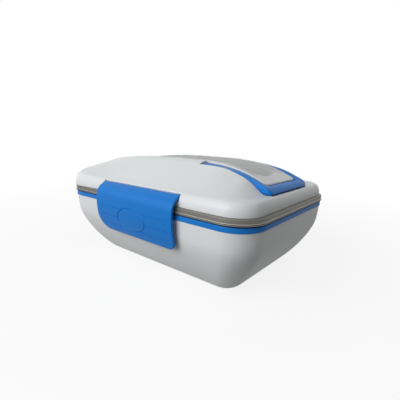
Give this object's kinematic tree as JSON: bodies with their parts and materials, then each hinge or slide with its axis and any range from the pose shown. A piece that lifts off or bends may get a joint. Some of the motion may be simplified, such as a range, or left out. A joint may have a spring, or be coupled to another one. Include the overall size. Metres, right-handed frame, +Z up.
{
  "type": "electric lunch box",
  "caption": "Boat shaped electric lunch box with a steel pan, side dish box, latched lid, spoon well and folding carry handle.",
  "frame": {"origin": "centre of the footprint on the table, midway along the length and the width, under the feet", "axes": "+X along the length towards the end with the handle's bar, +Z up, the front latch faces -Y"},
  "size_m": [0.238, 0.184, 0.1108],
  "materials": {
    "white_shell": "glossy moulded polypropylene",
    "blue_trim": "satin moulded polypropylene",
    "pan_steel": "drawn and polished stainless sheet",
    "plate_alloy": "turned aluminium",
    "plain_steel": "bright zinc",
    "mica": "heating element wrapped in mica",
    "brass_pin": "turned brass",
    "inlet_black": "black moulded nylon",
    "red_lens": "clear red acrylic",
    "lead_skin": "silicone insulation",
    "glass_felt": "glass fibre felt",
    "rubber_foot": "moulded rubber",
    "dish_plastic": "milky polypropylene",
    "seal_silicone": "translucent silicone",
    "cover_grey": "smoky translucent polypropylene",
    "fuse_ceramic": "glazed ceramic"
  },
  "bodies": {
    "base": {"base_shell": "white_shell", "inner_liner": "blue_trim", "heating_plate": "plate_alloy", "heating_element": "mica", "element_clamp": "plain_steel", "clamp_screws": "plain_steel", "thermostat": "plain_steel", "thermal_fuse": "fuse_ceramic", "insulation_pad": "glass_felt", "power_inlet": "inlet_black", "inlet_pins": "brass_pin", "indicator_lens": "red_lens", "wiring": "lead_skin", "base_screws": "plain_steel", "feet": "rubber_foot"},
    "pan": {"food_pan": "pan_steel"},
    "dish": {"side_dish_box": "dish_plastic"},
    "dish_cover": {"side_dish_lid": "dish_plastic"},
    "lid": {"lid_shell": "white_shell", "lid_liner": "white_shell", "lid_seal": "seal_silicone", "vent_plug": "seal_silicone", "lid_screws": "plain_steel", "handle_pins": "plain_steel", "latch_pin_front": "plain_steel", "latch_pin_rear": "plain_steel"},
    "spoon_lid": {"spoon_cover": "cover_grey"},
    "spoon": {"spoon": "pan_steel"},
    "handle": {"carry_handle": "blue_trim"},
    "front_latch": {"latch_front": "blue_trim"},
    "rear_latch": {"latch_rear": "blue_trim"}
  },
  "joints": [
    {"name": "lid_lift", "type": "slide", "parent": "base", "child": "lid", "axis": [0, 0, 1], "range_m": [0, 0.16]},
    {"name": "pan_lift", "type": "slide", "parent": "base", "child": "pan", "axis": [0, 0, 1], "range_m": [0, 0.08]},
    {"name": "dish_lift", "type": "slide", "parent": "pan", "child": "dish", "axis": [0, 0, 1], "range_m": [0, 0.04]},
    {"name": "dish_cover_lift", "type": "slide", "parent": "dish", "child": "dish_cover", "axis": [0, 0, 1], "range_m": [0, 0.016]},
    {"name": "handle_fold", "type": "hinge", "parent": "lid", "child": "handle", "pos_m": [0.042, 0, 0.10508], "axis": [0, -1, 0], "range_deg": [0, 92]},
    {"name": "spoon_cover_lift", "type": "slide", "parent": "lid", "child": "spoon_lid", "axis": [0, 0, 1], "range_m": [0, 0.05]},
    {"name": "spoon_lift", "type": "slide", "parent": "lid", "child": "spoon", "axis": [0, 0, 1], "range_m": [0, 0.025]},
    {"name": "latch_front_swing", "type": "hinge", "parent": "lid", "child": "front_latch", "pos_m": [0, -0.0811, 0.0828], "axis": [-1, 0, 0], "range_deg": [0, 100]},
    {"name": "latch_rear_swing", "type": "hinge", "parent": "lid", "child": "rear_latch", "pos_m": [0, 0.0811, 0.0828], "axis": [1, 0, 0], "range_deg": [0, 100]}
  ],
  "couplings": [
    {"joint": "pan_lift", "follows": "lid_lift", "ratio": 0.5},
    {"joint": "dish_lift", "follows": "lid_lift", "ratio": 0.25},
    {"joint": "dish_cover_lift", "follows": "lid_lift", "ratio": 0.1},
    {"joint": "spoon_lift", "follows": "spoon_cover_lift", "ratio": 0.5}
  ]
}
